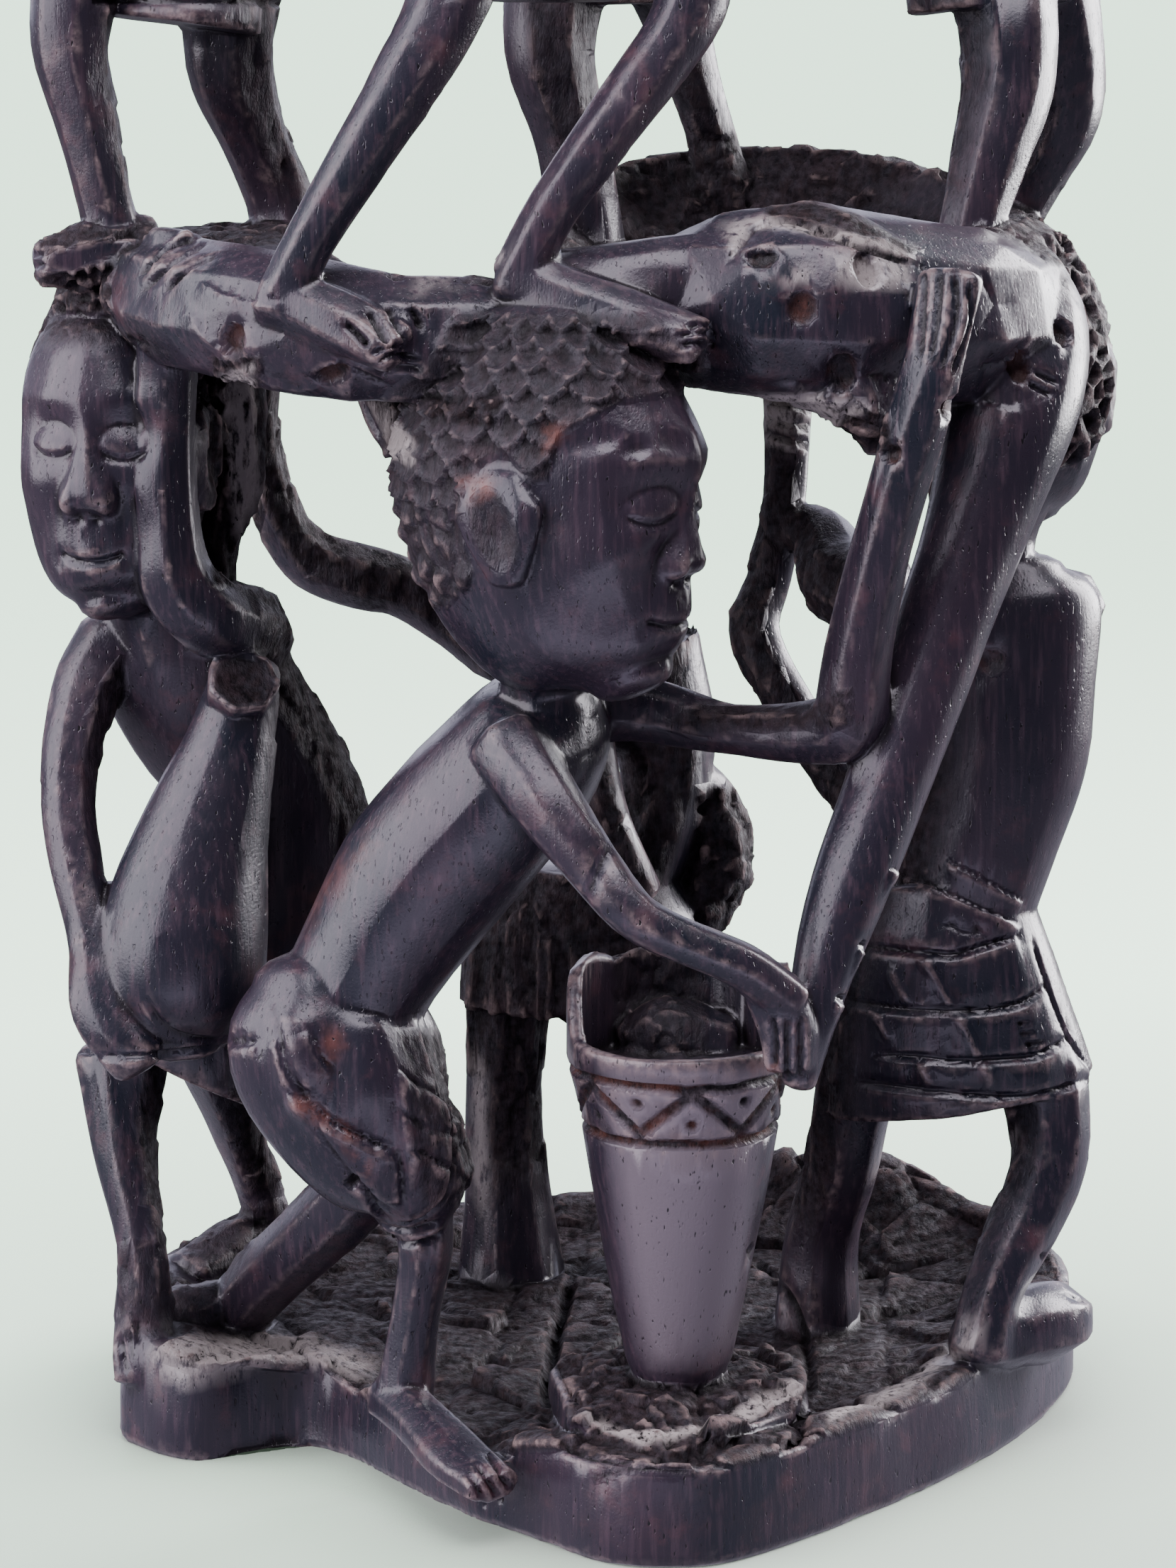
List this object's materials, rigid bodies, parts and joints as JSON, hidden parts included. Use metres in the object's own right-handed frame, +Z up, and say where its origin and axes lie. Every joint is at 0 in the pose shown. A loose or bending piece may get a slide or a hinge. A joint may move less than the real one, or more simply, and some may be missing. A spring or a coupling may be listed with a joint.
{
  "type": "wood figure carving",
  "caption": "Openwork hardwood carving: a ring of figures with a drum on a low base lifts a thick ring that carries a second tier of figures.",
  "frame": {"origin": "centre of the bounding box, on the underside of the base", "axes": "+Z up, the drummer's side faces -Y, and +X is to the viewer's right"},
  "size_m": [0.1402, 0.1158, 0.3075],
  "materials": {
    "blackwood": "polished satin, with rough chiselled areas left matte"
  },
  "bodies": {
    "root": {"carving": "blackwood"}
  },
  "joints": []
}
